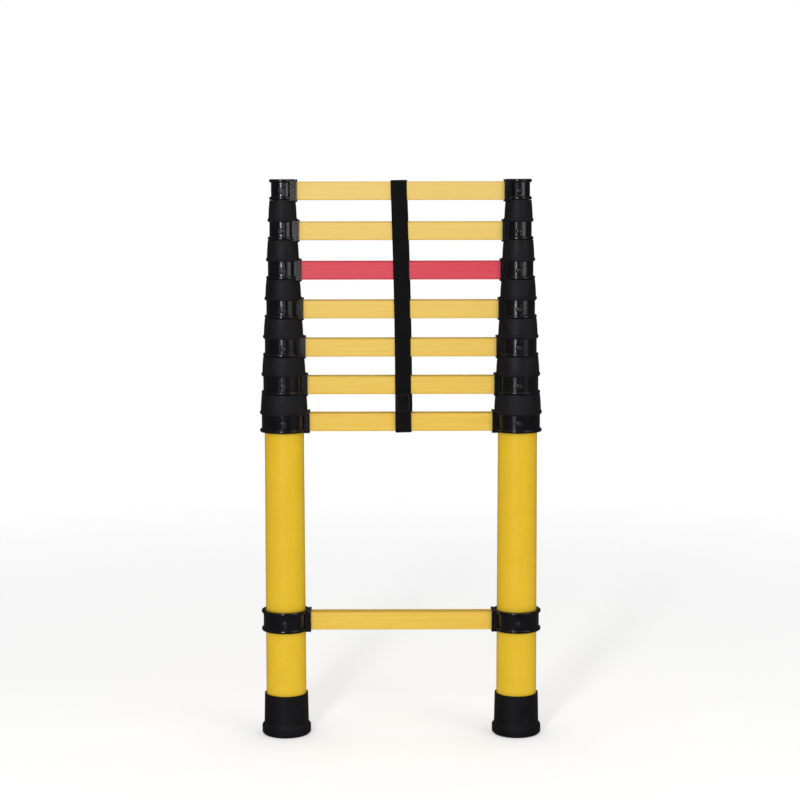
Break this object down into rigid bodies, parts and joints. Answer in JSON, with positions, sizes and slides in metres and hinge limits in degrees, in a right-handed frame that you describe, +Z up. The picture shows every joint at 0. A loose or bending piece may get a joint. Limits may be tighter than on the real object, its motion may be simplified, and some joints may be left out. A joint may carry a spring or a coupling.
{
  "type": "telescoping ladder",
  "caption": "Closed telescoping ladder with tapered glass-fibre tube sections, rungs in moulded collars, rubber sleeves and feet, and a webbing strap round the stacked rungs.",
  "frame": {"origin": "on the floor, midway between the two feet", "axes": "+Z up along the stiles, +X to the right along the rungs, -Y out of the ladder's front"},
  "size_m": [0.4644, 0.0812, 0.9196],
  "materials": {
    "frp_tube": "smooth yellow glass-fibre tube with a satin gel coat",
    "frp_rung": "yellow pultruded glass-fibre profile with fine lengthwise grain",
    "frp_rung_red": "red pultruded glass-fibre profile with fine lengthwise grain",
    "collar_plastic": "glossy black moulded nylon",
    "cap_plastic": "black moulded plastic",
    "sleeve_rubber": "matte black rubber",
    "foot_rubber": "matte black rubber with a moulded sole",
    "rivet": "black painted aluminium",
    "webbing": "black woven polypropylene webbing"
  },
  "bodies": {
    "section_1": {"left_tube_1": "frp_tube", "right_tube_1": "frp_tube", "left_collar_1": "collar_plastic", "right_collar_1": "collar_plastic", "rung_1": "frp_rung", "rivets_1": "rivet", "sleeves_1": "sleeve_rubber", "left_clamp": "collar_plastic", "right_clamp": "collar_plastic", "lower_rung": "frp_rung", "left_foot": "foot_rubber", "right_foot": "foot_rubber", "strap_lower": "webbing"},
    "section_2": {"left_tube_2": "frp_tube", "right_tube_2": "frp_tube", "left_collar_2": "collar_plastic", "right_collar_2": "collar_plastic", "rung_2": "frp_rung", "rivets_2": "rivet", "sleeves_2": "sleeve_rubber"},
    "section_3": {"left_tube_3": "frp_tube", "right_tube_3": "frp_tube", "left_collar_3": "collar_plastic", "right_collar_3": "collar_plastic", "rung_3": "frp_rung", "rivets_3": "rivet", "sleeves_3": "sleeve_rubber"},
    "section_4": {"left_tube_4": "frp_tube", "right_tube_4": "frp_tube", "left_collar_4": "collar_plastic", "right_collar_4": "collar_plastic", "rung_4": "frp_rung", "rivets_4": "rivet", "sleeves_4": "sleeve_rubber"},
    "section_5": {"left_tube_5": "frp_tube", "right_tube_5": "frp_tube", "left_collar_5": "collar_plastic", "right_collar_5": "collar_plastic", "rung_5": "frp_rung_red", "rivets_5": "rivet", "sleeves_5": "sleeve_rubber"},
    "section_6": {"left_tube_6": "frp_tube", "right_tube_6": "frp_tube", "left_collar_6": "collar_plastic", "right_collar_6": "collar_plastic", "rung_6": "frp_rung", "rivets_6": "rivet", "sleeves_6": "sleeve_rubber"},
    "section_7": {"left_tube_7": "frp_tube", "right_tube_7": "frp_tube", "left_collar_7": "collar_plastic", "right_collar_7": "collar_plastic", "rung_7": "frp_rung", "rivets_7": "rivet", "top_caps": "cap_plastic", "strap_upper": "webbing"}
  },
  "joints": [
    {"name": "section_2_slide", "type": "slide", "parent": "section_1", "child": "section_2", "axis": [0, 0, 1], "range_m": [0, 0.2691]},
    {"name": "section_3_slide", "type": "slide", "parent": "section_2", "child": "section_3", "axis": [0, 0, 1], "range_m": [0, 0.26835]},
    {"name": "section_4_slide", "type": "slide", "parent": "section_3", "child": "section_4", "axis": [0, 0, 1], "range_m": [0, 0.2676]},
    {"name": "section_5_slide", "type": "slide", "parent": "section_4", "child": "section_5", "axis": [0, 0, 1], "range_m": [0, 0.26685]},
    {"name": "section_6_slide", "type": "slide", "parent": "section_5", "child": "section_6", "axis": [0, 0, 1], "range_m": [0, 0.2661]},
    {"name": "section_7_slide", "type": "slide", "parent": "section_6", "child": "section_7", "axis": [0, 0, 1], "range_m": [0, 0.26535]}
  ]
}
